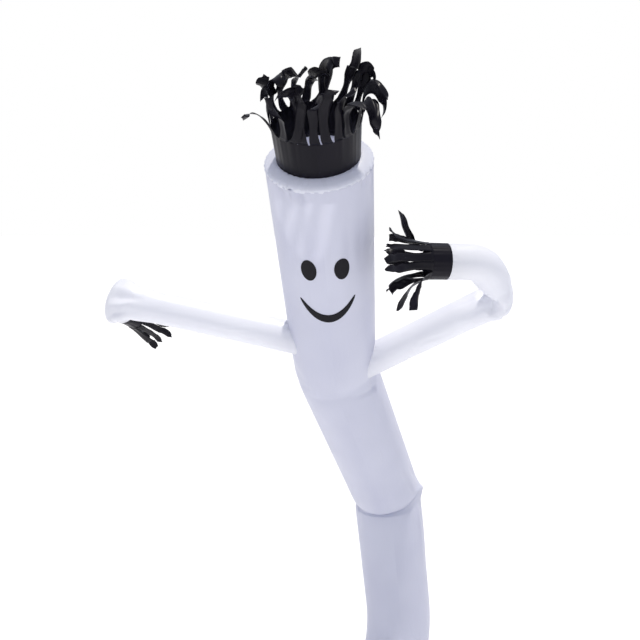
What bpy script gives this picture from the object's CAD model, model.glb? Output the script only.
# %% [markdown]
# # An inflatable air dancer, in cloth
#
# The real thing is a tall tube of thin nylon with two arm tubes sewn to it. A blower under its
# hem keeps it full, and the air leaves by an open collar at the crown and by the wrists, where
# black ribbons flutter. The rigid model of one moment of its sway is loaded first. Each of its
# solids is then stood in for by cloth with seams, creases and loose ribbons, in the same place.

# %% Load the rigid model
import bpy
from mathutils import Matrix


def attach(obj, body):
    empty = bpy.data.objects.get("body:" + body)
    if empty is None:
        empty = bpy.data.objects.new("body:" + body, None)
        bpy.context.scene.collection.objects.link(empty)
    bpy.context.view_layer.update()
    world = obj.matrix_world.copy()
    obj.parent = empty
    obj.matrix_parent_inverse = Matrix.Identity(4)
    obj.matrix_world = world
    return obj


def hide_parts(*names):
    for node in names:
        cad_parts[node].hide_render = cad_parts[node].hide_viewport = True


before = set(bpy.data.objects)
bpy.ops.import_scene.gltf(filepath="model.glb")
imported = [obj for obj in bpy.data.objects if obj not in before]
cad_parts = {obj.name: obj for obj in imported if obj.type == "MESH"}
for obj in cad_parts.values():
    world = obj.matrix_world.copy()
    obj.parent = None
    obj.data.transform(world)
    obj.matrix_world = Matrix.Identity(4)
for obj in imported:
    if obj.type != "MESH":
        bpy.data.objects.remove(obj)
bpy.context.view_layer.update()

# %% What the lesson uses
import math
from collections import namedtuple

import bpy
import numpy as np
from mathutils import Matrix, Vector

MM = 0.001
chance = np.random.default_rng(11)   # one seeded source for every uneven thing


def table(kind, *rows):
    """Rows of one kind, whose cells are in the order of its columns."""
    return tuple(kind(*row) for row in rows)


# %% [markdown]
# ## Where the figure stands
#
# The hem's ring stands flat on the floor. Its middle, read from the rigid body sleeve's lowest
# points, is the start of the figure's centreline, so that everything below is given from there.

# %% The hem's middle
sleeve_points = np.array([vert.co[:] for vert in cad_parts["body_sleeve"].data.vertices])
hem_points = sleeve_points[sleeve_points[:, 2] < 1 * MM]
HEM = Vector(((hem_points[:, 0].min() + hem_points[:, 0].max()) / 2,
              (hem_points[:, 1].min() + hem_points[:, 1].max()) / 2, 0))
print("Hem's middle:", [round(value, 4) for value in HEM])

# %% [markdown]
# ## Centrelines
#
# A tube full of air is straight where nothing bends it and round at its bends. So a centreline
# is a list of corners, each with a bend radius, and a small class turns it into points and
# directions at any distance along the tube.

# %% A centreline of straight runs and arcs
Corner = namedtuple("Corner", "across away height bend")


class Path:
    def __init__(self, corners):
        points = [HEM + Vector(corner[:3]) for corner in corners]
        self.pieces, self.length, self.bend_at = [], 0.0, {}
        start = points[0]
        for index in range(1, len(points) - 1):
            corner, bend = points[index], corners[index].bend
            inward = (corner - points[index - 1]).normalized()
            outward = (points[index + 1] - corner).normalized()
            turn = inward.angle(outward)
            cut = bend * math.tan(turn / 2)
            self.add_run(start, corner - inward * cut)
            self.bend_at[index] = self.length + bend * turn / 2
            self.add_arc(corner - inward * cut, inward, outward, turn, bend)
            start = corner + outward * cut
        self.add_run(start, points[-1])

    def add_run(self, start, end):
        way = (end - start).normalized()
        self.pieces.append((self.length, lambda s: (start + way * s, way)))
        self.length += (end - start).length

    def add_arc(self, start, inward, outward, turn, bend):
        centreward = (outward - inward * inward.dot(outward)).normalized()

        def place(s):
            sine, cosine = math.sin(s / bend), math.cos(s / bend)
            point = start + inward * bend * sine + centreward * bend * (1 - cosine)
            return point, inward * cosine + centreward * sine

        self.pieces.append((self.length, place))
        self.length += bend * turn

    def at(self, along):
        begin, place = [piece for piece in self.pieces if piece[0] <= max(along, 0.0)][-1]
        return place(along - begin)


# %% The body's and the arms' centrelines, in metres from the hem's middle
BODY_CORNERS = (
    Corner(across=0.000, away=0.000, height=0.000, bend=0),       # hem
    Corner(across=0.000, away=0.000, height=0.220, bend=0.60),    # leans right and back
    Corner(across=0.208, away=0.283, height=0.890, bend=0.60),    # stands up again
    Corner(across=0.136, away=0.338, height=1.553, bend=0.17),    # folds at the waist
    Corner(across=-0.109, away=-0.036, height=2.255, bend=0.25),  # bends a little at the arms
    Corner(across=-0.168, away=-0.495, height=2.996, bend=0),     # crown's seam
)
BODY = Path(BODY_CORNERS)
WAIST, ARMS_LEVEL = BODY.bend_at[3], BODY.bend_at[4]
LEFT_CORNERS = (
    Corner(across=-0.251, away=-0.153, height=2.387, bend=0),     # at the body's wall
    Corner(across=-0.933, away=-0.122, height=2.534, bend=0.05),  # folded back at the elbow
    Corner(across=-0.884, away=-0.034, height=2.474, bend=0),     # wrist
)
RIGHT_CORNERS = (
    Corner(across=0.057, away=-0.117, height=2.315, bend=0),      # at the body's wall
    Corner(across=0.456, away=-0.262, height=2.562, bend=0.05),   # folded up at the elbow
    Corner(across=0.345, away=-0.372, height=2.688, bend=0.10),   # levels out
    Corner(across=0.233, away=-0.392, height=2.692, bend=0),      # wrist
)
INSIDE_BODY = 0.13   # an arm's line starts this far inside the body
print(f"Body {BODY.length:.3f} m along, waist at {WAIST:.3f}, arms at {ARMS_LEVEL:.3f}")

# %% [markdown]
# ## Sleeves
#
# A sleeve is a tube of cloth round a centreline. Its cross-section has a half size to each side,
# one to the front and one to the back, so that a bend can be flattened. Creases move the cloth
# in or out. A fold is a soft mound or dent, and a crease is a line with soft ends: both are rows
# that were placed by eye, in metres along the tube and in degrees round it.

# %% Folds, creases and the sleeve itself
Fold = namedtuple("Fold", "along turn lift length spread")
Crease = namedtuple("Crease", "along turn to_along to_turn width lift")


def creases_from(origin, *rows):
    """Creases whose distances along the tube are given from an origin."""
    return tuple(Crease(origin + along, turn, origin + to_along, to_turn, width * MM, lift * MM)
                 for along, turn, to_along, to_turn, width, lift in rows)


def swing(turn, other):
    """The shorter way round from one turn to another, in degrees."""
    return (turn - other + 180) % 360 - 180


def fold_lift(fold, along, turns):
    reach = ((along - fold.along) / fold.length) ** 2 + (swing(turns, fold.turn) / fold.spread) ** 2
    return fold.lift * np.exp(-reach)


def crease_lift(crease, along, turns, radius):
    run = crease.to_along - crease.along
    over = math.radians(swing(crease.to_turn, crease.turn)) * radius
    length = math.hypot(run, over)
    beside, across = along - crease.along, np.radians(swing(turns, crease.turn)) * radius
    share = (beside * run + across * over) / length ** 2
    away = (across * run - beside * over) / length
    ends = np.clip(4 * share * (1 - share), 0, 1)
    return crease.lift * ends * np.exp(-(away / crease.width) ** 2)


class Sleeve:
    def __init__(self, path, side_hint, sizes, folds=(), creases=()):
        self.path, self.side_hint, self.sizes = path, Vector(side_hint), sizes
        self.folds, self.creases = list(folds), list(creases)

    def frame(self, along):
        """Centre, direction, side and front at a distance along the sleeve."""
        centre, way = self.path.at(along)
        side = (self.side_hint - way * self.side_hint.dot(way)).normalized()
        return centre, way, side, side.cross(way)

    def lift(self, along, turns):
        radius = sum(self.sizes(along)) / 3
        total = sum((fold_lift(fold, along, turns) for fold in self.folds), np.zeros(len(turns)))
        for crease in self.creases:
            low, high = sorted((crease.along, crease.to_along))
            if low - 3 * crease.width < along < high + 3 * crease.width:
                total = total + crease_lift(crease, along, turns, radius)
        return total

    def ring(self, along, turns, outward=0.0, with_lift=True):
        """Points at one distance along the sleeve, one for each turn in degrees."""
        centre, way, side, front = self.frame(along)
        side_size, front_size, back_size = self.sizes(along)
        sine, cosine = np.sin(np.radians(turns)), np.cos(np.radians(turns))
        depth = np.where(cosine > 0, front_size, back_size)
        extra = outward + (self.lift(along, turns) if with_lift else 0.0)
        reach = np.outer(sine * (side_size + extra), side) + np.outer(cosine * (depth + extra), front)
        return np.array(centre) + reach

    def point(self, along, turn, outward=0.0):
        return self.ring(along, np.array([float(turn)]), outward)[0]


# %% [markdown]
# ## Turning rings into cloth
#
# A ring of points at each step along the tube makes a grid of faces. The grid gets a UV map in
# real metres, along the warp and the weft, so that every weave and seam in a material can be
# drawn at its true size and follows the cloth round each bend.

# %% A grid of cloth with a UV map in metres
CLOTH_MAP = "cloth_metres"


def new_object(name, data):
    made = bpy.data.objects.new(name, data)
    bpy.context.collection.objects.link(made)
    return made


def grid_faces(rings, weft, warp, closed=True, kept=None, first=0):
    """Faces between rows of points, and the places of their corners on the cloth in metres."""
    columns = len(rings[0])
    faces, places = [], []
    for row in range(len(rings) - 1):
        for column in range(columns if closed else columns - 1):
            if kept is not None and not kept[row, column]:
                continue
            here, after = first + row * columns, (column + 1) % columns
            faces.append((here + column, here + after, here + columns + after, here + columns + column))
            low, high = weft[column], weft[column + 1]
            places += [(low, warp[row]), (high, warp[row]), (high, warp[row + 1]), (low, warp[row + 1])]
    return faces, places


def cloth_object(name, points, faces, places):
    mesh = bpy.data.meshes.new(name)
    mesh.from_pydata([tuple(point) for point in points], [], faces)
    mesh.uv_layers.new(name=CLOTH_MAP).data.foreach_set("uv", np.array(places).ravel())
    mesh.shade_smooth()
    return new_object(name, mesh)


def cloth(name, rings, weft, warp, closed=True, kept=None):
    """One grid of cloth. weft holds the places across it and warp those along it."""
    return cloth_object(name, np.concatenate(rings).tolist(), *grid_faces(rings, weft, warp, closed, kept))


def weft_of(turns, radius):
    """Places across the cloth for each turn, and once more for the closing seam."""
    return np.append(np.radians(turns), math.tau) * radius


def spaced(start, *stretches):
    """Steps along a sleeve from its start. Each stretch is (end, spacing)."""
    steps = []
    for end, spacing in stretches:
        count = max(1, round((end - start) / spacing))
        steps += [start + (end - start) * k / count for k in range(count)]
        start = end
    return steps + [start]


# %% [markdown]
# ## Colours and nodes
#
# Colours are written as they look on a screen, in sRGB hex, and Blender's shaders want linear
# light, so one function converts them. Another adds a node with its settings and its links.

# %% Two helpers for materials
def linear(code, share=1.0):
    """A screen colour in linear light, made darker or lighter by a share."""
    values = [int(code[k:k + 2], 16) / 255 for k in (1, 3, 5)]
    return (*[(v / 12.92 if v <= 0.04045 else ((v + 0.055) / 1.055) ** 2.4) * share for v in values], 1.0)


def add(tree, kind, inputs=(), **settings):
    """A shader node of this kind, with its settings, and with values or links on its inputs."""
    node = tree.nodes.new("ShaderNode" + kind)
    for name, value in settings.items():
        setattr(node, name, value)
    for name, value in dict(inputs).items():
        if isinstance(value, bpy.types.NodeSocket):
            tree.links.new(value, node.inputs[name])
        else:
            node.inputs[name].default_value = value
    return node


def blank(name):
    material = bpy.data.materials.new(name)
    material.use_nodes = True
    material.node_tree.nodes.clear()
    return material, material.node_tree


# %% [markdown]
# ## Ripstop nylon
#
# The figure is sewn from calendered ripstop nylon: a plain weave of very fine threads with a
# thicker one every few millimetres, pressed smooth on one side. It gives the eye a soft satin
# gloss, and it lets some of the daylight through. A Principled shader makes the satin face and
# a Translucent one the light that comes through, mixed by the share of light that passes.
# The ripstop squares are 5 mm on the real cloth, and are drawn so. The single threads are
# 0.15 mm, too fine to show, and are drawn at 1.2 mm as the faint grain that is left of them.

# %% Ripstop nylon, for the white and the black pieces
RIPSTOP_SQUARE, THREAD_GRAIN = 5 * MM, 1.2 * MM
RIPSTOP_LINE = 0.10        # the thick thread's share of a square
CRUMPLE = 45 * MM          # distance between the soft ripples that handling leaves
SHADIER_PATCH = 0.32       # distance between the faintly darker places
NOISE_RANGE = {"From Min": 0.3, "From Max": 0.7}   # where most of a noise's values lie
NYLON_IOR = 1.53


def ripstop_height(tree, metres):
    """Raised threads of the ripstop grid, 0 to 1, from the cloth's own metres."""
    parts = add(tree, "SeparateXYZ", {"Vector": metres})
    lines = []
    for axis in ("X", "Y"):
        cell = add(tree, "Math", {0: parts.outputs[axis], 1: RIPSTOP_SQUARE}, operation="DIVIDE")
        place = add(tree, "Math", {0: cell.outputs[0]}, operation="FRACT")
        near = add(tree, "Math", {0: place.outputs[0], 1: 0.5}, operation="SUBTRACT")
        far = add(tree, "Math", {0: near.outputs[0]}, operation="ABSOLUTE")
        line = add(tree, "MapRange",
                   {"Value": far.outputs[0], "From Min": 0.5 - RIPSTOP_LINE, "From Max": 0.5})
        lines.append(line.outputs[0])
    return add(tree, "Math", {0: lines[0], 1: lines[1]}, operation="MAXIMUM").outputs[0]


def ripstop(name, face, shade, rough, through, crumple_height, mirror=0.5):
    """Nylon with a face colour, a colour in its shadier parts, and a share of light let through."""
    material, tree = blank(name)
    metres = add(tree, "UVMap", uv_map=CLOTH_MAP).outputs["UV"]
    grain = add(tree, "TexNoise",
                {"Vector": metres, "Scale": 1 / THREAD_GRAIN, "Detail": 1.0}).outputs["Fac"]
    ripples = add(tree, "Mapping", {"Vector": metres, "Scale": (1.0, 0.35, 1.0)})
    crumple = add(tree, "TexNoise",
                  {"Vector": ripples.outputs[0], "Scale": 1 / CRUMPLE, "Detail": 3.0,
                   "Roughness": 0.55, "Distortion": 0.6}).outputs["Fac"]
    cloud = add(tree, "TexNoise", {"Vector": metres, "Scale": 1 / SHADIER_PATCH, "Detail": 2.0})
    tone = add(tree, "MapRange", {"Value": cloud.outputs["Fac"], **NOISE_RANGE})
    colour = add(tree, "Mix",
                 {"Factor": tone.outputs[0], "A": linear(shade), "B": linear(face)},
                 data_type="RGBA").outputs["Result"]
    gloss = add(tree, "MapRange",
                {"Value": crumple, **NOISE_RANGE, "To Min": rough - 0.05,
                 "To Max": rough + 0.06}).outputs[0]
    soft = add(tree, "Bump", {"Height": crumple, "Strength": 0.6, "Distance": crumple_height})
    grid = add(tree, "Bump",
               {"Height": ripstop_height(tree, metres), "Strength": 0.35, "Distance": 0.12 * MM,
                "Normal": soft.outputs[0]})
    weave = add(tree, "Bump",
                {"Height": grain, "Strength": 0.15, "Distance": 0.08 * MM, "Normal": grid.outputs[0]})
    satin = add(tree, "BsdfPrincipled",
                {"Base Color": colour, "Roughness": gloss, "IOR": NYLON_IOR,
                 "Specular IOR Level": mirror, "Normal": weave.outputs[0]})
    glow = add(tree, "BsdfTranslucent", {"Color": colour, "Normal": weave.outputs[0]})
    both = add(tree, "MixShader", {0: through, 1: satin.outputs[0], 2: glow.outputs[0]})
    add(tree, "OutputMaterial", {"Surface": both.outputs[0]})
    return material


WHITE_NYLON = ripstop("white_ripstop_nylon", "#D9DBE9", "#D0D2E2", 0.36, 0.22, 1.8 * MM)
# An arm's narrow tube lets more of the sun through than the body's, so its cloth is paler here.
ARM_NYLON = ripstop("white_ripstop_nylon_of_arms", "#F7F8FC", "#F0F1F7", 0.36, 0.32, 1.8 * MM)
CROWN_NYLON = ripstop("crown_ripstop_nylon", "#F4F6FD", "#ECEEF8", 0.30, 0.36, 2.0 * MM)
# The black cloth is woven more openly. Light is lost between its threads, so it mirrors less.
BLACK_NYLON = ripstop("black_ripstop_nylon", "#15131D", "#100F16", 0.34, 0.02, 1.6 * MM, mirror=0.12)
print("Nylon:", [material.name for material in (WHITE_NYLON, ARM_NYLON, CROWN_NYLON, BLACK_NYLON)])

# %% [markdown]
# ## Thread and face cloth
#
# The seams are sewn with spun polyester thread, which is duller than the nylon. The face is
# appliqué: matt black cloth, cut out and sewn on with a close edge stitch.

# %% Sewing thread and matt face cloth
def spun_thread(name, code):
    """Twisted fibres, drawn as a fine slanting grain 0.5 mm wide."""
    material, tree = blank(name)
    place = add(tree, "TexCoord").outputs["Object"]
    twist = add(tree, "TexWave",
                {"Vector": place, "Scale": 1 / (3 * MM), "Distortion": 2.0}, bands_direction="DIAGONAL")
    colour = add(tree, "Mix",
                 {"Factor": twist.outputs["Fac"], "A": linear(code, 0.85), "B": linear(code)},
                 data_type="RGBA").outputs["Result"]
    bump = add(tree, "Bump", {"Height": twist.outputs["Fac"], "Strength": 0.3, "Distance": 0.1 * MM})
    fibre = add(tree, "BsdfPrincipled",
                {"Base Color": colour, "Roughness": 0.65, "Normal": bump.outputs[0]})
    add(tree, "OutputMaterial", {"Surface": fibre.outputs[0]})
    return material


def face_cloth(name, code):
    """Matt plain weave with threads drawn 0.8 mm apart."""
    material, tree = blank(name)
    metres = add(tree, "UVMap", uv_map=CLOTH_MAP).outputs["UV"]
    weave = add(tree, "TexChecker", {"Vector": metres, "Scale": 1 / (0.8 * MM)})
    fuzz = add(tree, "TexNoise", {"Vector": metres, "Scale": 1 / (4 * MM), "Detail": 3.0})
    colour = add(tree, "Mix",
                 {"Factor": fuzz.outputs["Fac"], "A": linear(code, 0.8), "B": linear(code, 1.25)},
                 data_type="RGBA").outputs["Result"]
    bump = add(tree, "Bump", {"Height": weave.outputs["Fac"], "Strength": 0.3, "Distance": 0.1 * MM})
    matt = add(tree, "BsdfPrincipled",
               {"Base Color": colour, "Roughness": 0.75, "IOR": NYLON_IOR, "Specular IOR Level": 0.2,
                "Normal": bump.outputs[0]})
    add(tree, "OutputMaterial", {"Surface": matt.outputs[0]})
    return material


WHITE_THREAD = spun_thread("white_polyester_thread", "#E9EAF2")
BLACK_THREAD = spun_thread("black_polyester_thread", "#24232C")
FACE_CLOTH = face_cloth("black_face_cloth", "#141319")
print("Sewn on or with:", [material.name for material in (WHITE_THREAD, BLACK_THREAD, FACE_CLOTH)])

# %% [markdown]
# ## Placing a piece
#
# Every piece moves with the one rigid body, stands for its solid, and takes its finish from a
# named slot. One function says all three.

# %% Dress a piece
def dress(piece, material, slot, *nodes):
    piece.data.materials.append(material)
    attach(piece, "root")
    if nodes:
        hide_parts(*nodes)
    faces = len(piece.data.polygons)
    print(f"{piece.name}: {faces} faces" + (f", for {', '.join(nodes)}" if nodes else ""))
    return piece


# %% [markdown]
# ## The body's creases
#
# The waist is where the upper half has tipped forward. Its cloth bulges over the top of the leg
# along a curved line, and at the right it is pinched into a pointed shoulder with a flat strip
# under it. At the arms' level there is a softer line. The head is nearly smooth, with a few long
# shallow troughs that break up its reflections, and the crown's seam gathers it into puckers.

# %% The body's size and its folds
BASE_RADIUS, CROWN_RADIUS = 0.137, 0.1585


def body_sizes(along):
    radius = BASE_RADIUS + (CROWN_RADIUS - BASE_RADIUS) * along / BODY.length
    return radius, radius, radius


BODY_FOLDS = table(
    Fold,   # along, turn, lift, length, spread
    (WAIST, 0, -0.012, 0.040, 60),
    (WAIST + 0.095, -5, 0.002, 0.050, 65),
    (WAIST + 0.004, 84, 0.016, 0.030, 18),
    (WAIST - 0.150, 62, 0.006, 0.110, 9),
    (WAIST - 0.010, -75, -0.010, 0.030, 22),
    (WAIST - 0.080, 180, 0.008, 0.090, 50),
    (ARMS_LEVEL - 0.020, 0, -0.006, 0.050, 50),
    (ARMS_LEVEL + 0.030, -62, -0.008, 0.040, 18),
    (ARMS_LEVEL - 0.050, 66, -0.009, 0.045, 16))
WAIST_CREASES = creases_from(
    WAIST,   # along, turn, to_along, to_turn, width and lift in mm
    (0.02, -72, -0.006, -20, 7, -7),
    (0, -40, -0.004, 35, 7, -5),
    (-0.006, 15, 0.03, 70, 7, -5),
    (0.05, 62, -0.02, 104, 8, 6),
    (0.01, 66, -0.29, 70, 6, -5),
    (-0.01, 56, -0.23, 60, 5, 3),
    (-0.02, 84, -0.33, 86, 8, 3),
    (0.04, -85, -0.07, -68, 8, 5),
    (-0.01, -60, -0.17, -72, 10, -2),
    (0.02, -50, 0.22, -64, 12, -2),
    (0.04, 62, 0.26, 50, 12, -3),
    (0.06, 88, 0.21, 72, 8, -3))
CHEST_CREASES = creases_from(
    ARMS_LEVEL,
    (-0.105, 82, -0.045, 18, 9, -4),
    (-0.04, 30, -0.03, -60, 12, -2),
    (-0.02, -88, 0.01, -30, 10, -3),
    (-0.11, 60, -0.04, 57, 5, -4),
    (-0.1, 50, -0.3, 58, 14, -2))
HEAD_CREASES = creases_from(
    ARMS_LEVEL,
    (0.83, 2, 0.56, 10, 10, -2.2),
    (0.8, 27, 0.52, 29, 12, -2.6),
    (0.79, -16, 0.6, -4, 9, -2),
    (0.82, 46, 0.54, 44, 10, -2),
    (0.76, 16, 0.38, 20, 20, 1.5),
    (0.7, -50, 0.15, -44, 18, -1.5))
print(f"Creases: {len(WAIST_CREASES)} waist, {len(CHEST_CREASES)} chest, {len(HEAD_CREASES)} head")

# %% [markdown]
# ### Puckers at a seam
#
# Thread pulls a seam a little shorter than the cloth beside it, so the cloth gathers into short
# puckers square to the seam. They are drawn at random from a seeded source, closer together and
# deeper where a row of the table says that the cloth is bunched.

# %% Puckers
Bunch = namedtuple("Bunch", "turn half count depth reach lean")


def puckers(seam_at, heading, bunches):
    """Short creases that run from a seam along the sleeve. heading is 1 or -1."""
    made = []
    for bunch in bunches:
        for _ in range(bunch.count):
            turn = bunch.turn + chance.uniform(-bunch.half, bunch.half)
            length = bunch.reach * chance.uniform(0.6, 1.2)
            lean = bunch.lean + chance.uniform(-4, 4)
            depth = bunch.depth * chance.uniform(0.5, 1.0) * chance.choice((-1, 1))
            start = seam_at - heading * length * 0.5
            made.append(Crease(start, turn, seam_at + heading * length, turn + lean,
                               chance.uniform(0.004, 0.007), depth))
    return made


CROWN_BUNCHES = table(
    Bunch,   # turn, half, count, depth, reach, lean
    (-36, 17, 15, 0.0042, 0.055, 9),
    (20, 30, 9, 0.0014, 0.030, 0),
    (62, 12, 7, 0.0024, 0.040, -5),
    (180, 100, 34, 0.0018, 0.032, 0))
SIDE_BUNCHES = table(   # these ripple the crown alone, so they count no puckers
    Bunch,   # turn, half, count, depth, reach, lean
    (-90, 60, 0, 0.0008, 0, 0),
    (100, 40, 0, 0.0008, 0, 0))
HEM_BUNCHES = (Bunch(turn=0, half=180, count=40, depth=0.0010, reach=0.040, lean=0),)

# %% [markdown]
# ### Sewing the body sleeve
#
# The steps along the tube are close together at the waist, at the arms and at the crown, where
# the creases are, and far apart on the plain runs. The closing seam runs down the back as a flat
# double-stitched strip 10 mm wide. The hem turns up inside by 40 mm.

# %% The body's cloth
FELL_WIDTH, FELL_HEIGHT = 10 * MM, 0.8 * MM
FELL_STEP, FELL_CLEAR = 0.35, 0.8   # degrees from a seam's edge to an extra turn, and to an even one
HEM_HEIGHT, HEM_INSIDE = 0.040, 1.2 * MM
BODY_COLUMNS = 132


def turns_with_seam(count, seam_turn, radius):
    """Even turns, with extra ones at the edges of a felled seam."""
    edge = math.degrees(FELL_WIDTH / 2 / radius)
    edges = [seam_turn - edge - FELL_STEP, seam_turn - edge, seam_turn + edge, seam_turn + edge + FELL_STEP]
    even = [360 * k / count for k in range(count)]
    kept = [turn for turn in even if min(abs(swing(turn, other)) for other in edges) > FELL_CLEAR]
    return np.array(sorted(kept + edges))


def fell(turns, seam_turn, radius):
    """How far a felled seam's strip stands up at each turn."""
    beside = np.abs(np.radians(swing(turns, seam_turn))) * radius
    return np.where(beside <= FELL_WIDTH / 2 + 0.1 * MM, FELL_HEIGHT, 0.0)


BACK = 180
body_turns = turns_with_seam(BODY_COLUMNS, BACK, CROWN_RADIUS)
body = Sleeve(BODY, (1, 0, 0), body_sizes, BODY_FOLDS,
              (*WAIST_CREASES, *CHEST_CREASES, *HEAD_CREASES,
               *puckers(BODY.length, -1, CROWN_BUNCHES), *puckers(HEM_HEIGHT, 1, HEM_BUNCHES)))
body_steps = spaced(0.0, (HEM_HEIGHT, 0.010), (0.12, 0.012), (WAIST - 0.34, 0.035), (WAIST - 0.09, 0.010),
                    (WAIST + 0.10, 0.0045), (WAIST + 0.28, 0.012), (ARMS_LEVEL - 0.26, 0.030),
                    (ARMS_LEVEL + 0.10, 0.008), (ARMS_LEVEL + 0.36, 0.020),
                    (BODY.length - 0.07, 0.014), (BODY.length, 0.005))


def body_ring(along):
    return body.ring(along, body_turns, fell(body_turns, BACK, CROWN_RADIUS))


hem_rings = [body.ring(HEM_HEIGHT * share, body_turns, -HEM_INSIDE) for share in (1.0, 0.5, 0.04)]
body_rings = hem_rings + [body_ring(along) for along in body_steps]
body_warp = [-HEM_HEIGHT, -HEM_HEIGHT / 2, 0.0] + body_steps
print(f"Body sleeve: {len(body_rings)} rings, {len(body.folds)} folds, {len(body.creases)} creases")

# %% [markdown]
# ## The arms
#
# An arm is a thinner sleeve whose first ring lies on the body's wall, where it is sewn on. Each
# of its lines starts inside the body and is followed outwards until it leaves the cloth. The
# elbows are folded: the tube is pinched flat across the bend, and creases run out from there.

# %% An arm's sizes round its elbow
ARM_RADIUS, CUFF_LENGTH, ELBOW = 0.0575, 0.062, 1
ArmSection = namedtuple("ArmSection", "offset side front back")
ARM_SECTIONS = table(
    ArmSection,   # offset from the elbow, side, front, back
    (-0.170, 0.0575, 0.0575, 0.0575),
    (-0.080, 0.064, 0.048, 0.052),
    (-0.035, 0.080, 0.032, 0.040),
    (0.000, 0.086, 0.028, 0.036),
    (0.035, 0.078, 0.033, 0.041),
    (0.075, 0.062, 0.050, 0.053),
    (0.120, 0.0575, 0.0575, 0.0575))


def smooth(t):
    t = min(max(t, 0.0), 1.0)
    return t * t * (3 - 2 * t)


def arm_sleeve(corners, creases):
    """The sleeve of an arm. Its front is the inside of its elbow's bend."""
    wall, elbow, after = [Vector(corner[:3]) for corner in corners[:3]]
    inside = wall - (elbow - wall).normalized() * INSIDE_BODY
    path = Path((Corner(*inside, 0), *corners[1:]))
    bend = path.bend_at[ELBOW]

    def sizes(along):
        rows = ARM_SECTIONS
        offset = min(max(along - bend, rows[0].offset), rows[-1].offset)
        later = next(k for k in range(1, len(rows)) if offset <= rows[k].offset)
        low, high = rows[later - 1], rows[later]
        share = smooth((offset - low.offset) / (high.offset - low.offset))
        return tuple(low[k] + (high[k] - low[k]) * share for k in (1, 2, 3))

    placed = [crease._replace(along=crease.along + bend, to_along=crease.to_along + bend)
              for crease in creases]
    return Sleeve(path, (elbow - wall).cross(after - elbow), sizes, creases=placed)


# %% The arms' creases, in metres from the elbow
ELBOW_CREASES = creases_from(
    0,   # along, turn, to_along, to_turn, width and lift in mm
    (0, 5, -0.07, 70, 6, -6),
    (0, -5, -0.075, -70, 6, -6),
    (0.005, 10, 0.065, 75, 6, -6),
    (0.005, -10, 0.06, -78, 6, -6),
    (-0.01, 60, -0.03, 150, 5, -4),
    (0.012, 70, 0.03, 160, 5, -4),
    (-0.008, -60, -0.028, -150, 5, -4),
    (0.012, -65, 0.034, -155, 5, -4),
    (-0.02, 115, -0.11, 150, 6, 3),
    (-0.02, -120, -0.12, -140, 6, 3),
    (-0.01, 30, -0.15, 48, 7, -3),
    (-0.01, -25, -0.16, -40, 7, -3))
RIGHT_ROOT_CREASES = creases_from(
    0,
    (-0.395, 100, -0.375, 200, 4, -4),
    (-0.375, 110, -0.352, 195, 4, -4),
    (-0.352, 105, -0.34, 185, 4, -3),
    (-0.36, 20, -0.34, 90, 4, -3),
    (-0.33, 60, -0.18, 80, 6, -2),
    (-0.25, 150, -0.09, 120, 6, -2))
LEFT_END_CREASES = creases_from(
    0,
    (0.01, 120, -0.11, 142, 8, -6),
    (0.004, 150, -0.085, 166, 7, 6),
    (0.006, 176, -0.12, 182, 8, -6),
    (0, 205, -0.08, 200, 7, 5),
    (-0.03, 110, -0.045, 215, 9, -5))
LEFT_ROOT_CREASES = creases_from(
    0,
    (-0.56, 60, -0.535, 140, 5, -3),
    (-0.52, -40, -0.5, 40, 5, -2),
    (-0.48, 90, -0.2, 80, 7, -2),
    (-0.33, 10, -0.14, 25, 7, -2))

# %% Where an arm's lines leave the body
trace = np.linspace(ARMS_LEVEL - 0.35, ARMS_LEVEL + 0.55, 181)
trace_points = np.array([BODY.at(along)[0] for along in trace])


def beyond_body(point):
    """How far a point is outside the body's cloth."""
    along = trace[np.argmin(((trace_points - point) ** 2).sum(axis=1))]
    for _ in range(3):
        centre, way, side, front = body.frame(along)
        along += (Vector(point) - centre).dot(way)
    gap = Vector(point) - centre
    turn = np.array([math.degrees(math.atan2(gap.dot(side), gap.dot(front)))])
    return gap.length - body_sizes(along)[0] - body.lift(along, turn)[0]


def root_of(arm, turn):
    """The distance along the arm at which the line at this turn comes out of the body."""
    low, high = 0.0, INSIDE_BODY + 0.20
    for _ in range(18):
        middle = (low + high) / 2
        if beyond_body(arm.point(middle, turn)) > 0:
            high = middle
        else:
            low = middle
    return high


# %% An arm's cloth
ARM_COLUMNS, ROOT_STEPS = 64, 9


def arm_cloth(name, arm, seam_turn, node):
    """Sews an arm to the body, and gives its first ring, where the seam is."""
    turns = turns_with_seam(ARM_COLUMNS, seam_turn, ARM_RADIUS)
    raised = fell(turns, seam_turn, ARM_RADIUS)
    bend, wrist = arm.path.bend_at[ELBOW], arm.path.length
    roots = np.array([root_of(arm, turn) for turn in turns])
    settled = roots.max() + 0.03
    print(f"{name}: leaves the body {roots.min():.3f} to {roots.max():.3f} m along its line")
    rings = []
    for step in range(ROOT_STEPS):
        alongs = roots + (settled - roots) * step / ROOT_STEPS
        rings.append(np.array([arm.ring(along, turns[k:k + 1], raised[k:k + 1])[0]
                               for k, along in enumerate(alongs)]))
    steps = spaced(settled, (bend - 0.16, 0.010), (wrist, 0.005))
    rings += [arm.ring(along, turns, raised) for along in steps]
    warp = [settled * step / ROOT_STEPS for step in range(ROOT_STEPS)] + steps
    piece = cloth(name, rings, weft_of(turns, ARM_RADIUS), warp)
    dress(piece, ARM_NYLON, "white_nylon", node)
    return rings[0]


def gathers(arm):
    """Puckers where the arm is sewn to the body, and at its wrist."""
    root = INSIDE_BODY + 0.02
    arm.creases += puckers(root, 1, (Bunch(0, 180, count=16, depth=0.0016, reach=0.035, lean=0),))
    arm.creases += puckers(arm.path.length, -1,
                           (Bunch(0, 180, count=14, depth=0.0012, reach=0.022, lean=0),))


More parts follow.
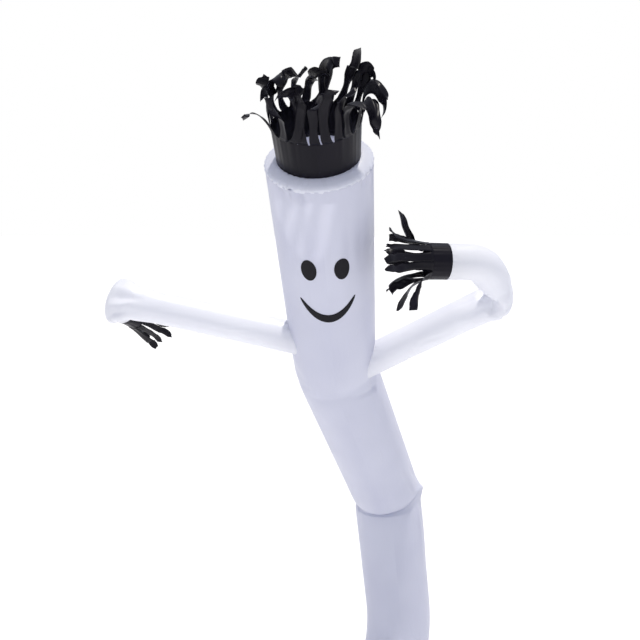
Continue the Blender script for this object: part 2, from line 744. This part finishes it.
left_arm = arm_sleeve(LEFT_CORNERS, (*ELBOW_CREASES, *LEFT_END_CREASES, *LEFT_ROOT_CREASES))
right_arm = arm_sleeve(RIGHT_CORNERS, (*ELBOW_CREASES, *RIGHT_ROOT_CREASES))
gathers(left_arm)
gathers(right_arm)
LEFT_SEAM, RIGHT_SEAM = 0, 240
left_root_ring = arm_cloth("left_arm_cloth", left_arm, LEFT_SEAM, "left_arm_sleeve")
right_root_ring = arm_cloth("right_arm_cloth", right_arm, RIGHT_SEAM, "right_arm_sleeve")

# %% [markdown]
# ### Holes for the arms
#
# Air reaches the arms through holes in the body's wall. The faces of the body's grid whose
# middles lie well inside an arm are left out, so the hole's uneven edge is hidden in the arm.

# %% Leave out the faces inside the arms, and sew the body
HOLE_INSET = 7 * MM   # from an arm's cloth to the hole's edge


def inside_arm(points, arm):
    """True for each point inside the straight start of an arm."""
    start, way = arm.path.at(0.0)
    gap = points - np.array(start)
    reach = gap @ np.array(way)
    beside = np.linalg.norm(gap - np.outer(reach, np.array(way)), axis=1)
    return (beside < ARM_RADIUS - HOLE_INSET) & (reach > 0) & (reach < INSIDE_BODY + 0.15)


def open_faces(rings, arms):
    kept = np.ones((len(rings) - 1, len(rings[0])), bool)
    for row in range(len(rings) - 1):
        low, high = rings[row], rings[row + 1]
        middles = (low + high + np.roll(low, -1, axis=0) + np.roll(high, -1, axis=0)) / 4
        for arm in arms:
            kept[row] &= ~inside_arm(middles, arm)
    return kept


body_piece = cloth("body_cloth", body_rings, weft_of(body_turns, CROWN_RADIUS), body_warp,
                   kept=open_faces(body_rings, (left_arm, right_arm)))
dress(body_piece, WHITE_NYLON, "white_nylon", "body_sleeve")

# %% [markdown]
# ## The crown
#
# A ring of cloth closes the head round the collar. Air pushes it up into a low cone with a
# rounded rim, gathered between its two seams, so its ripples run in from the rim and fade.

# %% The crown's puffed ring
Profile = namedtuple("Profile", "outward up")
CROWN_PROFILE = table(
    Profile,   # outward, up
    (0.0000, 0.0003),
    (0.0010, 0.006),
    (-0.0050, 0.0130),
    (-0.0150, 0.0180),
    (-0.0260, 0.0215),
    (-0.0352, 0.0225))
CROWN_COLUMNS, CROWN_STEPS, CROWN_WAVES, CROWN_PHASE = 240, 22, 41, 0.7
CROWN_CLOTH = 0.06    # the ring's width in its map


def round_sleeve(radius):
    return Sleeve(BODY, (1, 0, 0), lambda along: (radius, radius, radius))


def crown_section(share):
    """A smooth curve through the profile's points."""
    place = share * (len(CROWN_PROFILE) - 1)
    index = min(int(place), len(CROWN_PROFILE) - 2)
    rows = [CROWN_PROFILE[min(max(index + k, 0), len(CROWN_PROFILE) - 1)] for k in (-1, 0, 1, 2)]
    t = place - index
    blend = (-0.5 * t + t ** 2 - 0.5 * t ** 3, 1 - 2.5 * t ** 2 + 1.5 * t ** 3,
             0.5 * t + 2 * t ** 2 - 1.5 * t ** 3, -0.5 * t ** 2 + 0.5 * t ** 3)
    return [sum(weight * row[k] for weight, row in zip(blend, rows)) for k in (0, 1)]


def crown_ripples(turns, share):
    """Gathers that are deepest beside the two seams."""
    total = np.zeros(len(turns))
    for bunch in (*CROWN_BUNCHES, *SIDE_BUNCHES):
        window = np.exp(-(swing(turns, bunch.turn) / (bunch.half * 1.2)) ** 4)
        waves = np.sin(np.radians(turns) * CROWN_WAVES + CROWN_PHASE)
        waves = waves + 0.6 * np.sin(np.radians(turns) * (CROWN_WAVES * 1.7 + 3) + 2 * CROWN_PHASE)
        total = total + window * waves * bunch.depth * 0.6
    rim = 1 - smooth(share / 0.55)
    neck = smooth((share - 0.6) / 0.4)
    return total * (rim + 0.4 * neck)


def even_turns(count):
    return np.array([360 * k / count for k in range(count)])


crown_turns = even_turns(CROWN_COLUMNS)
crown_sleeve = round_sleeve(CROWN_RADIUS)
# Its first ring is tucked into the body sleeve, and its last turns down round the collar's foot.
crown_rings = [crown_sleeve.ring(BODY.length - 6 * MM, crown_turns, -1.0 * MM)]
for step in range(CROWN_STEPS + 1):
    outward, up = crown_section(step / CROWN_STEPS)
    crown_rings.append(crown_sleeve.ring(BODY.length + up, crown_turns,
                                         outward + crown_ripples(crown_turns, step / CROWN_STEPS)))
crown_rings.append(crown_sleeve.ring(BODY.length + 0.012, crown_turns, -0.0358))
crown_warp = [CROWN_CLOTH * k / len(crown_rings) for k in range(len(crown_rings))]
crown_piece = cloth("crown_cloth", crown_rings, weft_of(crown_turns, CROWN_RADIUS), crown_warp)
dress(crown_piece, CROWN_NYLON, "crown_nylon", "crown_panel")

# %% [markdown]
# ## The collar and the cuffs
#
# They are bands of black nylon. Air rushing out keeps them open, and their cloth buckles into
# long soft ripples along the flow. Both have a lower edge folded under at their seam.

# %% Black bands
COLLAR_RADIUS, COLLAR_FLARE = 0.1225, 0.005
COLLAR_FOOT, COLLAR_TOP = 0.018, 0.128
BAND_STEPS, BAND_TUCK = 16, 0.12              # the tuck as a share of the band's length


def band_cloth(name, sleeve, start, end, radius, flare, waves, depth, columns, node):
    """A band from start to end along its sleeve, rippled along its length."""
    turns = even_turns(columns)
    phases = chance.uniform(0, math.tau, 4)
    ripple = sum(np.sin(np.radians(turns) * round(waves * times) + phase)
                 for times, phase in zip((1.0, 1.6, 2.3, 3.1), phases)) / 4
    rings, warp = [], []
    for step in range(-1, BAND_STEPS + 1):
        share = max(step, 0) / BAND_STEPS
        tucked = -1.0 * MM if step < 0 else 0.0
        along = start + (end - start) * (share if step >= 0 else BAND_TUCK)
        outward = tucked + flare * share + ripple * depth * (0.35 + 0.65 * share)
        rings.append(sleeve.ring(along, turns, outward, with_lift=False))
        warp.append(along if step >= 0 else start - (along - start))
    piece = cloth(name, rings, weft_of(turns, radius), warp)
    dress(piece, BLACK_NYLON, "black_nylon", node)
    return piece


collar_sleeve = round_sleeve(COLLAR_RADIUS)
collar_piece = band_cloth("collar_cloth", collar_sleeve, BODY.length + COLLAR_FOOT,
                          BODY.length + COLLAR_TOP, COLLAR_RADIUS, COLLAR_FLARE, 17, 1.8 * MM, 144,
                          "hair_collar")
left_cuff_piece, right_cuff_piece = [
    band_cloth(side + "_cuff_cloth", arm, arm.path.length + 0.5 * MM, arm.path.length + CUFF_LENGTH,
               ARM_RADIUS, 0.0, 9, 1.6 * MM, 96, side + "_cuff")
    for side, arm in (("left", left_arm), ("right", right_arm))]

# %% [markdown]
# ## Ribbons
#
# The hair and the hands are strips cut from the edge of the same black nylon. Each strip leaves
# its band straight, is thrown over by the air, and ends in a slanted or pointed cut. It is
# creased, cupped and twisted. A cubic curve gives its sweep, and small kinks are added to it
# that grow towards the tip, so no two are alike.

# %% A ribbon's row in the tables
Ribbon = namedtuple("Ribbon", "across away up rise crest twist")
RIBBON_EASE = 0.15   # how far the curve's last handle leans back towards the root
HAIR = table(
    Ribbon,   # across, away, up, rise, crest, twist
    (0.01, -0.15, 0.10, 0.11, 0.04, 40),
    (0.02, -0.12, 0.13, 0.13, 0.01, -40),
    (0.03, -0.15, 0.09, 0.11, 0.05, 50),
    (0.03, -0.15, 0.05, 0.11, 0.06, -30),
    (0.04, -0.14, 0.00, 0.10, 0.07, 40),
    (0.04, -0.12, -0.04, 0.09, 0.08, -30),
    (0.06, -0.10, 0.00, 0.10, 0.06, 40),
    (0.07, -0.09, 0.04, 0.10, 0.03, -20),
    (0.05, -0.10, 0.06, 0.11, 0.05, 10),
    (0.05, -0.12, 0.08, 0.12, 0.04, -10),
    (0.05, -0.15, 0.12, 0.13, 0.00, 50),
    (0.03, -0.17, 0.08, 0.11, 0.01, -60),
    (0.04, -0.17, 0.06, 0.10, 0.03, 60),
    (0.04, -0.17, 0.05, 0.10, 0.04, -30),
    (0.04, -0.16, 0.06, 0.10, 0.04, 40),
    (0.04, -0.17, 0.07, 0.10, 0.03, -50),
    (0.03, -0.16, 0.09, 0.11, 0.02, 40),
    (0.03, -0.16, 0.07, 0.10, 0.04, -20),
    (0.00, -0.12, 0.12, 0.12, -0.02, 40),
    (-0.01, -0.14, 0.08, 0.10, 0.03, -50),
    (-0.07, -0.10, 0.04, 0.08, 0.02, 60),
    (-0.03, -0.15, 0.08, 0.10, 0.03, -60),
    (-0.01, -0.14, 0.10, 0.11, 0.05, 50),
    (0.00, -0.13, 0.13, 0.13, 0.01, -40))
RIGHT_HAND = table(
    Ribbon,   # across, away, up, rise, crest, twist
    (-0.13, -0.10, -0.04, 0.05, 0.02, 30),
    (-0.12, -0.11, -0.03, 0.05, 0.03, -40),
    (-0.11, -0.11, -0.08, 0.05, 0.02, 40),
    (-0.07, -0.12, -0.09, 0.05, 0.02, -60),
    (-0.16, -0.12, 0.00, 0.06, 0.01, 30),
    (-0.16, -0.11, 0.00, 0.07, 0.01, -30),
    (-0.15, -0.10, 0.02, 0.06, 0.00, 40),
    (-0.14, -0.10, 0.05, 0.06, 0.00, -40),
    (-0.13, -0.09, 0.03, 0.06, 0.01, 30),
    (-0.08, -0.06, 0.12, 0.05, -0.03, -60),
    (-0.12, -0.05, 0.03, 0.05, 0.00, 40),
    (-0.12, -0.07, 0.02, 0.06, 0.02, -40))
LEFT_HAND = table(
    Ribbon,   # across, away, up, rise, crest, twist
    (0.06, 0.11, -0.07, 0.06, 0.00, 30),
    (0.07, 0.11, -0.08, 0.06, 0.00, -30),
    (0.05, 0.11, -0.08, 0.06, 0.00, 40),
    (0.06, 0.11, -0.10, 0.06, 0.00, -20),
    (0.05, 0.11, -0.08, 0.06, 0.00, 30),
    (0.06, 0.12, -0.09, 0.06, 0.00, -40),
    (0.06, 0.12, -0.07, 0.06, 0.00, 30),
    (0.07, 0.12, -0.08, 0.06, 0.00, -30),
    (0.07, 0.13, -0.07, 0.06, 0.00, 40),
    (0.06, 0.11, -0.08, 0.06, 0.00, -20),
    (0.06, 0.11, -0.06, 0.06, 0.00, 30),
    (0.07, 0.11, -0.08, 0.06, 0.00, -40))
print(f"Strips: {len(HAIR)} in the hair, {len(RIGHT_HAND)} and {len(LEFT_HAND)} at the hands")

# %% [markdown]
# ### What the wind does to a strip
#
# The strips of the hair are pinched narrow just above their roots, so that light shows in
# wedges between them. Above that they lean against each other, turn their edges to the viewer
# and fold. The hands' strips are calmer. A row for each says how strongly.

# %% One ribbon's sweep, kinks and cupped section
Wind = namedtuple("Wind", "gap pinch lean kink hook spin narrow")
HAIR_WIND = Wind(gap=2.0 * MM, pinch=0.40, lean=34 * MM, kink=11 * MM, hook=20 * MM, spin=50, narrow=1.00)
HAND_WIND = Wind(gap=0.8 * MM, pinch=0.18, lean=6 * MM, kink=6 * MM, hook=8 * MM, spin=35, narrow=0.80)
PINCH_AT, PINCH_REACH = 0.17, 0.13      # shares of a strip's length
CUP = 3 * MM                            # how deep a strip is cupped across
RIBBON_STEPS, HAND_STEPS, RIBBON_COLUMNS = 30, 20, 5
STRIP_CLOTH = 0.22              # a strip's length in its map
STRIP_THICKNESS = 0.4 * MM      # drawn thicker than the real 0.1 mm, so that edges catch light


def sweep(root, way, row, steps):
    """A cubic curve from the root, straight out and over to the tip."""
    tip = root + Vector((row.across, row.away, row.up))
    first = root + way * row.rise
    second = tip + Vector((0, 0, row.crest)) + (root - tip) * RIBBON_EASE
    points = []
    for step in range(steps + 1):
        t = step / steps
        near = root * (1 - t) ** 3 + first * 3 * t * (1 - t) ** 2
        far = second * 3 * t * t * (1 - t) + tip * t ** 3
        points.append(near + far)
    return points


def kinks(shares):
    """A gentle wave with a few sharp creases, from -1 to 1, as along a crumpled strip."""
    wave = np.sin(shares * chance.uniform(5, 9) + chance.uniform(0, math.tau))
    places = np.sort(chance.uniform(0.15, 0.95, 4))
    sharp = np.interp(shares, [0, *places, 1], [0, *chance.uniform(-1, 1, 4), 0])
    return (0.4 * wave + sharp) * np.clip(shares * 1.6, 0, 1) ** 1.5


def ribbon_rings(root, way, wide, half_width, row, steps, wind):
    """Rows of points across a ribbon, from its root to its cut tip."""
    shares = np.linspace(0, 1, steps + 1)
    points = sweep(root, way, row, steps)
    hook = chance.uniform(-1, 1) * wind.hook * np.clip((shares - 0.7) / 0.3, 0, 1) ** 2
    bumps = kinks(shares) * wind.kink + hook
    slips = kinks(shares) * wind.kink * 0.7
    slips += chance.uniform(-1, 1) * wind.lean * np.sin(math.pi * shares ** 0.6)
    pinch = wind.pinch * chance.uniform(0.5, 1.3) * np.exp(-((shares - PINCH_AT) / PINCH_REACH) ** 2)
    narrow = chance.uniform(wind.narrow, 1.0)
    widths = half_width * (1 - pinch) * np.interp(shares, [0, 0.35, 1], [1, narrow, narrow])
    widths *= np.interp(shares, [0, 0.84, 1], [1, 1, chance.uniform(0.1, 1.0)])
    cups = kinks(shares) * CUP + pinch * half_width * 0.7
    slant, spin = chance.uniform(-0.5, 0.5), chance.uniform(-wind.spin, wind.spin)
    heading, rows = way, []
    for step, point in enumerate(points):
        before, after = points[max(step - 1, 0)], points[min(step + 1, steps)]
        ahead = (after - before).normalized()
        wide = heading.rotation_difference(ahead) @ wide
        turn = math.radians(row.twist + spin) * smooth(step / steps)
        turned = Matrix.Rotation(turn, 3, ahead) @ wide
        flat = turned.cross(ahead)
        centre = point + flat * float(bumps[step]) + turned * float(slips[step])
        across = []
        for column in range(RIBBON_COLUMNS):
            side = 2 * column / (RIBBON_COLUMNS - 1) - 1
            cut = ahead * side * slant * half_width * (step == steps)
            across.append(centre + turned * side * float(widths[step])
                          + flat * float(cups[step]) * side ** 2 + cut)
        rows.append(across)
        heading = ahead
    return rows


# %% A whole fringe
def ribbons(name, sleeve, start, rows, radius, steps, wind, node):
    """One mesh of loose strips that grow out of the top of a band."""
    centre, way, side, front = sleeve.frame(start)
    half_turn = (360 / len(rows) - math.degrees(wind.gap / radius)) / 2
    half_width = radius * math.radians(half_turn)
    width, length = 2 * half_width, [STRIP_CLOTH * step / steps for step in range(steps + 1)]
    points, faces, places = [], [], []
    for number, row in enumerate(rows):
        angle = math.tau * number / len(rows)
        outward = side * math.sin(angle) + front * math.cos(angle)
        wide = side * math.cos(angle) - front * math.sin(angle)
        strip = ribbon_rings(centre + outward * radius, way, wide, half_width, row, steps, wind)
        weft = [(number + column / (RIBBON_COLUMNS - 1)) * width for column in range(RIBBON_COLUMNS)]
        new_faces, new_places = grid_faces(strip, weft, length, closed=False, first=len(points))
        points += [point for across in strip for point in across]
        faces += new_faces
        places += new_places
    piece = cloth_object(name, points, faces, places)
    thickness = piece.modifiers.new("Nylon thickness", "SOLIDIFY")
    thickness.thickness = STRIP_THICKNESS
    thickness.offset = 0
    dress(piece, BLACK_NYLON, "black_nylon", node)
    return piece


hair_piece = ribbons("hair_ribbons", body, BODY.length + COLLAR_TOP - 1 * MM, HAIR,
                     COLLAR_RADIUS + COLLAR_FLARE, RIBBON_STEPS, HAIR_WIND, "hair_fringe")
hand_pieces = [ribbons(side + "_hand_ribbons", arm, arm.path.length + CUFF_LENGTH - 1 * MM, rows,
                       ARM_RADIUS, HAND_STEPS, HAND_WIND, side + "_hand_fringe")
               for side, arm, rows in (("left", left_arm, LEFT_HAND), ("right", right_arm, RIGHT_HAND))]

# %% [markdown]
# ## The face
#
# Two upright ovals and a curved smile, cut from matt cloth and laid on the head. Each is a grid
# of places on the head's own surface, lifted by the thickness of the cloth, so it follows every
# crease below it. Its rim is turned down to the head.

# %% Eyes and smile
EYE_WIDTH, EYE_HEIGHT = 0.050, 0.080
EYE_UP, EYE_TURN = 0.590, 19
SMILE_UP, SMILE_TURN = 0.465, 34
SMILE_SAG, SMILE_THICK = 0.075, 0.032
EYE_ROWS, EYE_COLUMNS, SMILE_ROWS, SMILE_COLUMNS = 25, 13, 49, 9
PATCH_LIFT, RIM_LIFT = 1.2 * MM, 0.1 * MM
PATCH_CLOTH = (0.06, 0.09)   # a patch's width and height in its map
HEAD_RADIUS = body_sizes(ARMS_LEVEL + EYE_UP)[0]


def face_piece(name, rows, node):
    """A patch through rows of (along, turn) places, with its rim turned down to the head."""
    framed = [(row[0], *row, row[-1]) for row in (rows[0], *rows, rows[-1])]
    height, width = len(framed), len(framed[0])
    grid = []
    for number, row in enumerate(framed):
        rim = [number in (0, height - 1) or column in (0, width - 1) for column in range(width)]
        grid.append(np.array([body.point(*place, RIM_LIFT if low else PATCH_LIFT)
                              for place, low in zip(row, rim)]))
    weft = [PATCH_CLOTH[0] * k / width for k in range(width)]
    warp = [PATCH_CLOTH[1] * k / height for k in range(height)]
    return dress(cloth(name, grid, weft, warp, closed=False), FACE_CLOTH, "face_cloth", node)


def patch_row(middle, half, turn, half_turn, count):
    """Places from one side of a patch to the other, at even shares of its halves."""
    shares = [2 * k / (count - 1) - 1 for k in range(count)]
    return [(middle + half * share, turn + half_turn * share) for share in shares]


def eye_rows(turn):
    rows = []
    for k in range(EYE_ROWS):
        level = -math.cos(math.pi * (k + 0.5) / EYE_ROWS)
        half_turn = math.degrees(EYE_WIDTH / 2 * math.sqrt(1 - level * level) / HEAD_RADIUS)
        along = ARMS_LEVEL + EYE_UP + EYE_HEIGHT / 2 * level
        rows.append(patch_row(along, 0, turn, half_turn, EYE_COLUMNS))
    return rows


def smile_rows():
    rows = []
    for k in range(SMILE_ROWS):
        share = 2 * k / (SMILE_ROWS - 1) - 1
        middle = ARMS_LEVEL + SMILE_UP - SMILE_SAG * (1 - share * share)
        half = SMILE_THICK / 2 * max(math.sqrt(1 - share ** 4), 0.05)
        rows.append(patch_row(middle, half, SMILE_TURN * share, 0, SMILE_COLUMNS))
    return rows


face_pieces = [face_piece("left_eye_cloth", eye_rows(-EYE_TURN), "left_eye_patch"),
               face_piece("right_eye_cloth", eye_rows(EYE_TURN), "right_eye_patch"),
               face_piece("mouth_cloth", smile_rows(), "mouth_patch")]

# %% [markdown]
# ## Stitches
#
# Lockstitch shows as a row of short dashes. Each dash here is a small eight-sided grain, laid
# flat on the cloth in the seam's direction. All the dashes of a sleeve are one mesh.

# %% Rows of stitches
STITCH_PITCH, STITCH_LENGTH, STITCH_WIDTH, STITCH_HEIGHT = 4.5 * MM, 3.4 * MM, 0.9 * MM, 0.5 * MM
STITCH_FACES = ((0, 2, 4), (2, 1, 4), (1, 3, 4), (3, 0, 4), (2, 0, 5), (1, 2, 5), (3, 1, 5), (0, 3, 5))


def stitches(name, lines, centre_of, thread, slot):
    """Dashes along each line of points. centre_of gives a point inside the cloth's tube."""
    points, faces = [], []
    for line in lines:
        line = np.array(line)
        lengths = np.append(0, np.cumsum(np.linalg.norm(np.diff(line, axis=0), axis=1)))
        marks = np.arange(STITCH_PITCH / 2, lengths[-1], STITCH_PITCH)
        dots = np.stack([np.interp(marks, lengths, line[:, k]) for k in range(3)], axis=1)
        ahead = np.stack([np.interp(marks + 1 * MM, lengths, line[:, k]) for k in range(3)], axis=1)
        for dot, next_dot in zip(dots, ahead):
            way = next_dot - dot
            size = np.linalg.norm(way)
            if size < 0.1 * MM:
                continue
            way /= size
            out = dot - centre_of(dot)
            out -= way * out.dot(way)
            out /= np.linalg.norm(out)
            wide = np.cross(way, out)
            base = len(points)
            points += [dot - way * STITCH_LENGTH / 2, dot + way * STITCH_LENGTH / 2,
                       dot - wide * STITCH_WIDTH / 2, dot + wide * STITCH_WIDTH / 2,
                       dot + out * STITCH_HEIGHT, dot - out * STITCH_HEIGHT / 2]
            faces += [tuple(base + k for k in face) for face in STITCH_FACES]
    mesh = bpy.data.meshes.new(name)
    mesh.from_pydata([tuple(point) for point in points], [], faces)
    mesh.shade_smooth()
    return dress(new_object(name, mesh), thread, slot)


def nearest_on(path, length, count):
    """A function that gives the point of a centreline which is nearest to its own point."""
    line = np.array([path.at(along)[0] for along in np.linspace(0, length, count)])
    return lambda point: line[np.argmin(((line - point) ** 2).sum(axis=1))]


body_centre = nearest_on(BODY, BODY.length + 0.15, 360)


def round_line(sleeve, along, outward):
    return sleeve.ring(along, np.linspace(0, 360, 181), outward)


# %% The body's seams
STITCH_INSET, LINE_LIFT = 2 * MM, 0.1 * MM   # from a felled seam's edge, and above the cloth


def fell_lines(sleeve, seam_turn, radius, steps):
    """The two rows that hold a felled seam flat."""
    turn = math.degrees((FELL_WIDTH / 2 - STITCH_INSET) / radius)
    return [[sleeve.point(along, seam_turn + side * turn, FELL_HEIGHT) for along in steps]
            for side in (-1, 1)]


back_seam = fell_lines(body, BACK, CROWN_RADIUS, np.linspace(0.004, BODY.length - 0.004, 500))
hem_lines = [round_line(body, HEM_HEIGHT - inset, LINE_LIFT) for inset in (3 * MM, 9 * MM)]
crown_line = round_line(body, BODY.length - 5 * MM, LINE_LIFT)
body_stitches = stitches("body_stitches", [*back_seam, *hem_lines, crown_line], body_centre,
                         WHITE_THREAD, "white_nylon")
collar_line = round_line(collar_sleeve, BODY.length + COLLAR_FOOT + 6 * MM, 0.4 * MM)
stitches("collar_stitches", [collar_line], body_centre, BLACK_THREAD, "black_nylon")

# %% The arms' seams
def arm_stitches(name, arm, seam_turn, root_ring):
    centre_of = nearest_on(arm.path, arm.path.length, 200)
    steps = np.linspace(INSIDE_BODY + 0.07, arm.path.length - 0.004, 300)
    along_arm = fell_lines(arm, seam_turn, ARM_RADIUS, steps)
    _, way = arm.path.at(0.0)
    root = np.vstack([root_ring, root_ring[:1]]) + np.array(way) * 5 * MM
    wrist = round_line(arm, arm.path.length - 4 * MM, LINE_LIFT)
    return stitches(name, [*along_arm, root, wrist], centre_of, WHITE_THREAD, "white_nylon")


arm_seams = [arm_stitches("left_arm_stitches", left_arm, LEFT_SEAM, left_root_ring),
             arm_stitches("right_arm_stitches", right_arm, RIGHT_SEAM, right_root_ring)]

# %% [markdown]
# ## The floor, the light and the camera
#
# The figure stands on a plain pale floor under a white sky, as it would outdoors on a bright
# day. A sun that is nearly overhead lights the tops of the arms. The head and the chest lean
# forward out of it, and the sky and the floor fill their shade. Some of the sunlight falls in at
# the open collar and shows through the cloth of the head as soft bright patches.

# %% Floor
def pale_floor():
    material, tree = blank("pale_painted_floor")
    place = add(tree, "TexCoord").outputs["Object"]
    speck = add(tree, "TexNoise", {"Vector": place, "Scale": 30.0, "Detail": 3.0})
    colour = add(tree, "Mix",
                 {"Factor": speck.outputs["Fac"], "A": linear("#EDEDEE"), "B": linear("#F3F3F3")},
                 data_type="RGBA").outputs["Result"]
    paint = add(tree, "BsdfPrincipled", {"Base Color": colour, "Roughness": 0.7})
    add(tree, "OutputMaterial", {"Surface": paint.outputs[0]})
    return material


FLOOR_HALF = 30.0
floor_mesh = bpy.data.meshes.new("floor")
floor_corners = [(x * FLOOR_HALF, y * FLOOR_HALF, 0) for x, y in ((-1, -1), (1, -1), (1, 1), (-1, 1))]
floor_mesh.from_pydata(floor_corners, [], [(0, 1, 2, 3)])
floor_mesh.materials.append(pale_floor())
new_object("floor", floor_mesh)
print(f"Floor {2 * FLOOR_HALF:.0f} m wide")

# %% Sky and sun
# The camera sees a white sky. A dimmer one lights the cloth, so that its shade keeps its depth.
SKY_LIGHT = 0.62
sky = bpy.data.worlds.new("white_sky")
sky.use_nodes = True
sky.node_tree.nodes.clear()
seen = add(sky.node_tree, "LightPath").outputs["Is Camera Ray"]
dim = add(sky.node_tree, "Background", {"Color": linear("#ECF1FF"), "Strength": SKY_LIGHT})
white = add(sky.node_tree, "Background", {"Color": linear("#FFFFFF"), "Strength": 1.0})
both_skies = add(sky.node_tree, "MixShader", {0: seen, 1: dim.outputs[0], 2: white.outputs[0]})
add(sky.node_tree, "OutputWorld", {"Surface": both_skies.outputs[0]})
bpy.context.scene.world = sky
bpy.context.scene.view_settings.view_transform = "Standard"

CHEST = HEM + Vector(BODY_CORNERS[4][:3])
TO_SUN = Vector((0.4, 0.3, 4.4))   # nearly overhead, a little to the right and behind
sun_data = bpy.data.lights.new("soft_sun", "SUN")
sun_data.energy = 3.0
sun_data.color = linear("#FFFAF2")[:3]
sun_data.angle = math.radians(3)
sun = new_object("soft_sun", sun_data)
sun.location = CHEST + TO_SUN
sun.rotation_mode = "QUATERNION"
sun.rotation_quaternion = (-TO_SUN).to_track_quat("-Z", "Y")
print(f"Sun {math.degrees(TO_SUN.angle(Vector((0, 0, 1)))):.0f} degrees from overhead")

# %% Camera
# The photograph looks a little down on the figure, from close by and from its crown's height.
EYE_POINT = HEM + Vector((-0.165, -2.585, 2.97))
DOWN, FOCAL_SHARE = 12, 700 / 640   # degrees, and focal length as a share of the frame's width
camera_data = bpy.data.cameras.new("camera")
camera_data.lens = camera_data.sensor_width * FOCAL_SHARE
camera = new_object("camera", camera_data)
camera.location = EYE_POINT
camera.rotation_euler = (math.radians(90 - DOWN), 0, 0)
bpy.context.scene.camera = camera
print(f"Camera {EYE_POINT.z:.2f} m up, {camera_data.lens:.1f} mm lens")
